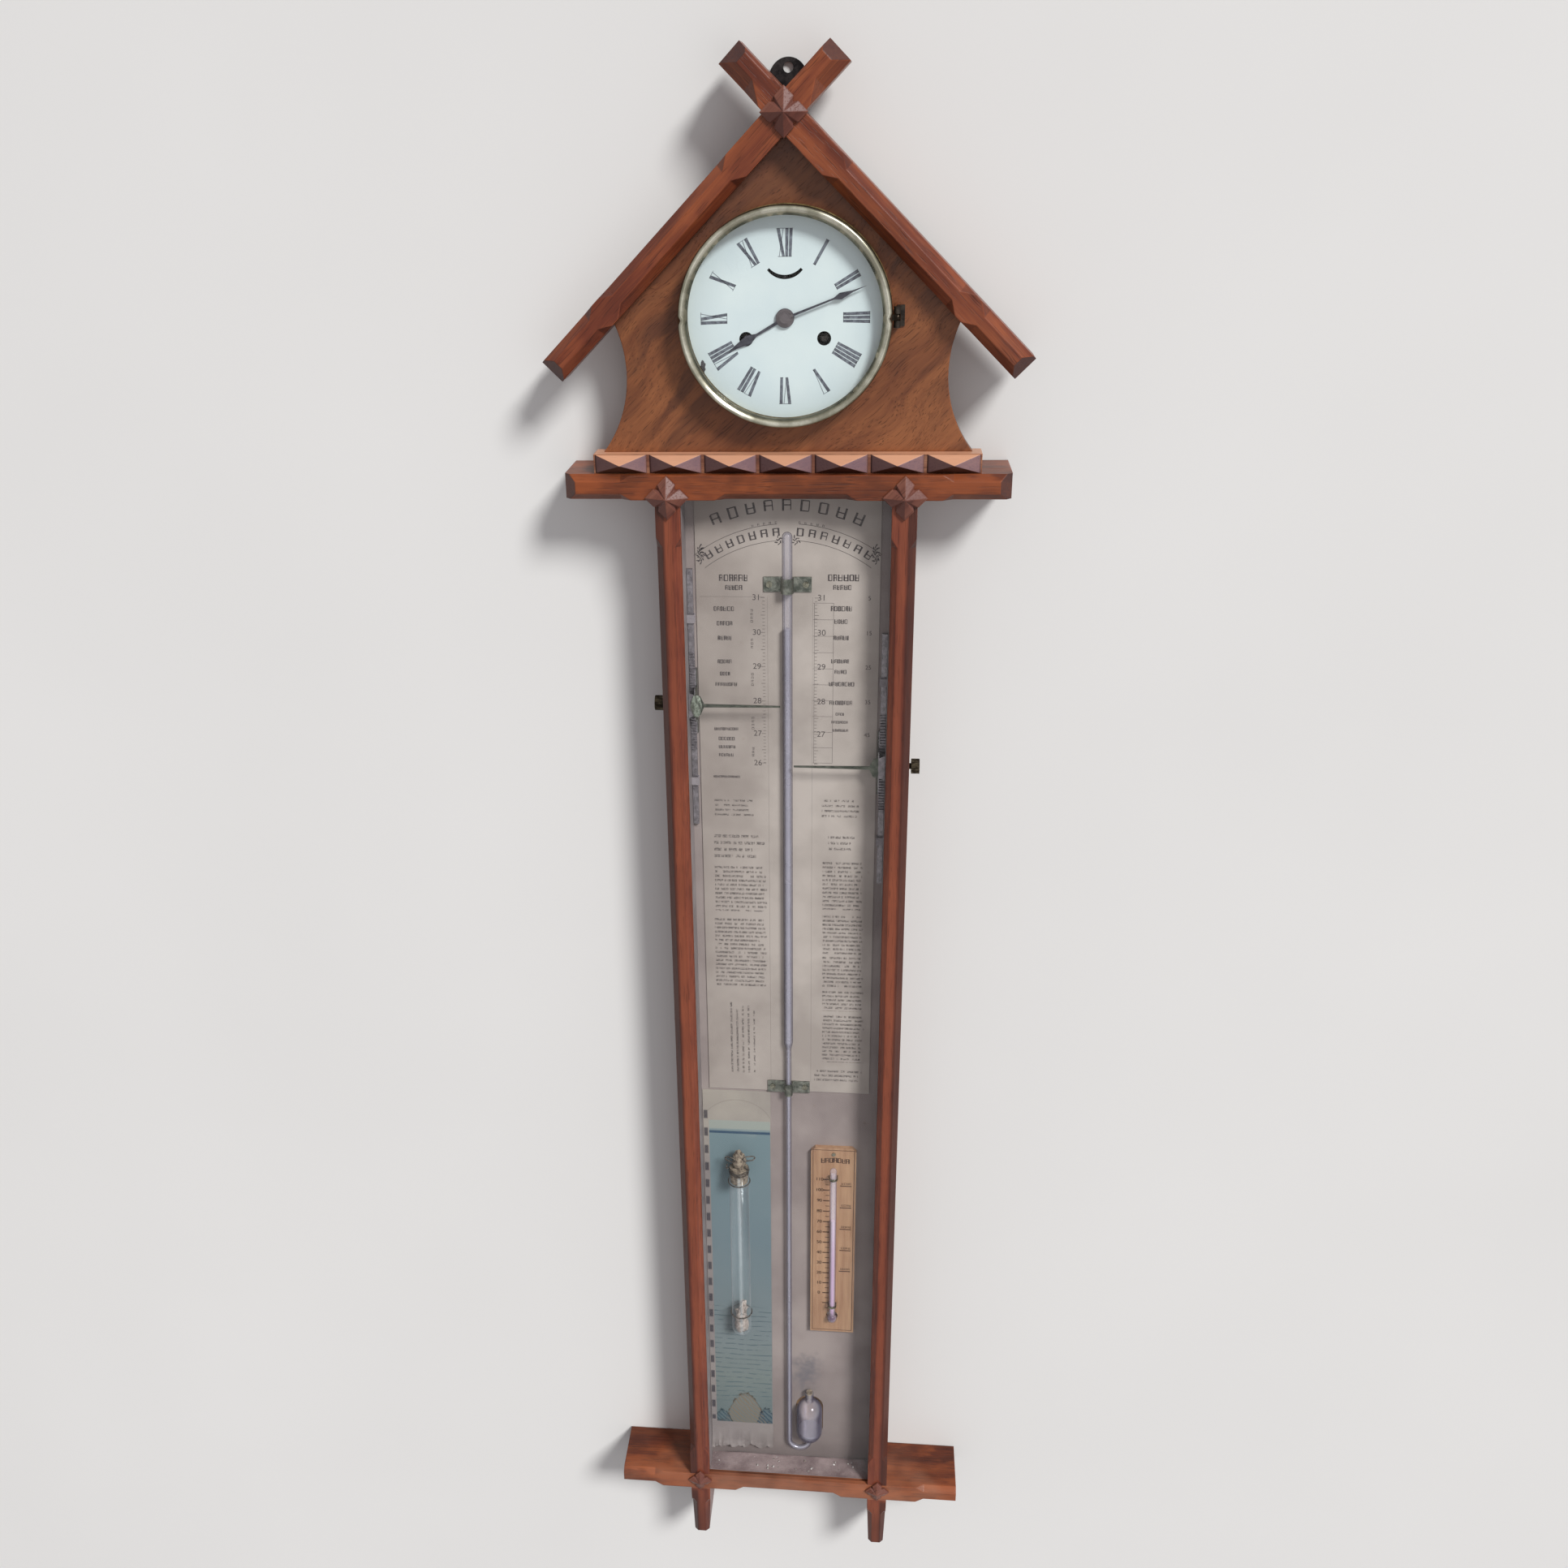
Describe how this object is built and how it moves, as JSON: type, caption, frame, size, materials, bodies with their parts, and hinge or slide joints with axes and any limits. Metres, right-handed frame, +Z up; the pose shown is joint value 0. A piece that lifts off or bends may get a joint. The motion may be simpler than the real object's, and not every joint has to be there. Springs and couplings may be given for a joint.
{
  "type": "wall barometer with clock",
  "caption": "Wall-hung mercury barometer in a glazed timber frame, with a thermometer, a storm glass and a gabled clock above.",
  "frame": {"origin": "centre of the hanging hole on the wall plane", "axes": "+Z up, the wall is the plane y = 0 and the front faces -Y"},
  "size_m": [0.3224, 0.059, 1.2443],
  "materials": {
    "backing": "sawn board",
    "bar_wood": "varnished oak",
    "orange_wood": "varnished oak",
    "carved_wood": "varnished oak",
    "figured_wood": "figured veneer",
    "box_wood": "plain pine",
    "black_iron": "black japan",
    "steel": "satin",
    "pane": "clear",
    "lining": "matt",
    "chart_paper": "aged",
    "tube_glass": "clear",
    "mercury": "bright",
    "dull_brass": "tarnished",
    "cork": "cork",
    "dark_brass": "dark patina",
    "label_paper": "printed, matt",
    "storm_fluid": "clear liquid",
    "dark_wire": "dull",
    "boxwood": "varnished boxwood",
    "spirit": "tinted liquid",
    "brass": "satin",
    "bezel_brass": "polished, worn",
    "enamel": "gloss enamel",
    "black_steel": "blued",
    "bell_metal": "turned"
  },
  "bodies": {
    "case": {"back_board": "backing", "stile_left": "bar_wood", "stile_right": "bar_wood", "crossbeam": "bar_wood", "bottom_bar": "bar_wood", "frieze_block": "bar_wood", "frieze_pyramids": "carved_wood", "pediment_board": "figured_wood", "roof_bar_left": "bar_wood", "roof_bar_right": "orange_wood", "gable_block": "box_wood", "clock_box": "box_wood", "clock_back_board": "box_wood", "apex_boss": "carved_wood", "corner_bosses": "carved_wood", "hanging_plate": "black_iron", "wood_screws": "steel", "trunk_glass": "pane", "lining_paper": "lining", "chart": "chart_paper", "barometer_tube": "tube_glass", "mercury": "mercury", "tube_straps": "dull_brass", "cistern_plug": "cork", "rack_guides": "dull_brass", "storm_label": "label_paper", "storm_glass": "tube_glass", "storm_liquid": "storm_fluid", "storm_cork": "cork", "storm_ties": "dark_wire", "thermometer_plate": "boxwood", "thermometer_tube": "tube_glass", "thermometer_spirit": "spirit", "brass_pins": "brass", "clock_drum": "dull_brass", "bezel_hinge": "dark_brass", "dial": "enamel", "front_plate": "brass", "back_plate": "brass", "bell": "bell_metal"},
    "bezel_leaf": {"bezel": "bezel_brass", "bezel_glass": "pane"},
    "minute_arbor": {"centre_wheel": "brass", "minute_hand": "black_steel"},
    "hour_pipe": {"hour_wheel": "brass", "hour_hand": "black_steel"},
    "motion_wheel": {"minute_wheel": "brass"},
    "going_side": {"going_barrel": "brass"},
    "strike_side": {"strike_barrel": "brass"},
    "third_arbor": {"third_wheel": "brass"},
    "escape_arbor": {"escape_wheel": "brass"},
    "lever_arbor": {"pallet_lever": "steel"},
    "balance_staff": {"balance_wheel": "brass"},
    "regulator_arm": {"regulator": "black_steel"},
    "hammer_arbor": {"strike_hammer": "steel"},
    "left_slide": {"left_pointer": "dull_brass"},
    "right_slide": {"right_pointer": "dull_brass"},
    "left_shaft": {"left_knob": "dark_brass"},
    "right_shaft": {"right_knob": "dark_brass"}
  },
  "joints": [
    {"name": "bezel_swing", "type": "hinge", "parent": "case", "child": "bezel_leaf", "pos_m": [0.0718, -0.0459, -0.1475], "axis": [0, 0, 1], "range_deg": [0, 105]},
    {"name": "minute_turn", "type": "hinge", "parent": "case", "child": "minute_arbor", "pos_m": [0, -0.03, -0.1475], "axis": [0, 1, 0], "continuous": true},
    {"name": "hour_turn", "type": "hinge", "parent": "case", "child": "hour_pipe", "pos_m": [0, -0.03, -0.1475], "axis": [0, 1, 0], "continuous": true},
    {"name": "motion_turn", "type": "hinge", "parent": "case", "child": "motion_wheel", "pos_m": [0, -0.03, -0.1619], "axis": [0, 1, 0], "continuous": true},
    {"name": "going_turn", "type": "hinge", "parent": "case", "child": "going_side", "pos_m": [0.02526, -0.03, -0.16048], "axis": [0, 1, 0], "continuous": true},
    {"name": "third_turn", "type": "hinge", "parent": "case", "child": "third_arbor", "pos_m": [0.0108, -0.03, -0.12879], "axis": [0, 1, 0], "continuous": true},
    {"name": "escape_turn", "type": "hinge", "parent": "case", "child": "escape_arbor", "pos_m": [-0.00156, -0.03, -0.12548], "axis": [0, 1, 0], "continuous": true},
    {"name": "strike_turn", "type": "hinge", "parent": "case", "child": "strike_side", "pos_m": [-0.02526, -0.03, -0.16048], "axis": [0, 1, 0], "continuous": true},
    {"name": "lever_rock", "type": "hinge", "parent": "case", "child": "lever_arbor", "pos_m": [-0.01, -0.03, -0.1165], "axis": [0, 1, 0], "range_deg": [-5, 5]},
    {"name": "balance_swing", "type": "hinge", "parent": "case", "child": "balance_staff", "pos_m": [0, -0.03, -0.1081], "axis": [0, 1, 0], "range_deg": [-270, 270], "stiffness_Nm_per_rad": 0.00003},
    {"name": "regulator_set", "type": "hinge", "parent": "case", "child": "regulator_arm", "pos_m": [0, -0.03, -0.1081], "axis": [0, 1, 0], "range_deg": [-35, 35]},
    {"name": "hammer_lift", "type": "hinge", "parent": "case", "child": "hammer_arbor", "pos_m": [-0.018, -0.03, -0.1885], "axis": [0, 1, 0], "range_deg": [0, 10]},
    {"name": "left_pointer_slide", "type": "slide", "parent": "case", "child": "left_slide", "axis": [0, 0, 1], "range_m": [-0.03299, 0.03299]},
    {"name": "right_pointer_slide", "type": "slide", "parent": "case", "child": "right_slide", "axis": [0, 0, 1], "range_m": [-0.03299, 0.03299]},
    {"name": "left_knob_turn", "type": "hinge", "parent": "case", "child": "left_shaft", "pos_m": [-0.0885, -0.0296, -0.4185], "axis": [1, 0, 0], "range_deg": [-540, 540]},
    {"name": "right_knob_turn", "type": "hinge", "parent": "case", "child": "right_shaft", "pos_m": [0.0885, -0.0296, -0.465], "axis": [1, 0, 0], "range_deg": [-540, 540]}
  ],
  "couplings": [
    {"joint": "hour_turn", "follows": "minute_turn", "ratio": 0.083333},
    {"joint": "motion_turn", "follows": "minute_turn", "ratio": -0.33333},
    {"joint": "going_turn", "follows": "minute_turn", "ratio": -0.12698},
    {"joint": "third_turn", "follows": "minute_turn", "ratio": -8},
    {"joint": "escape_turn", "follows": "minute_turn", "ratio": 56},
    {"joint": "left_knob_turn", "follows": "left_pointer_slide", "rad_per_m": 285.71},
    {"joint": "right_knob_turn", "follows": "right_pointer_slide", "rad_per_m": 285.71}
  ]
}
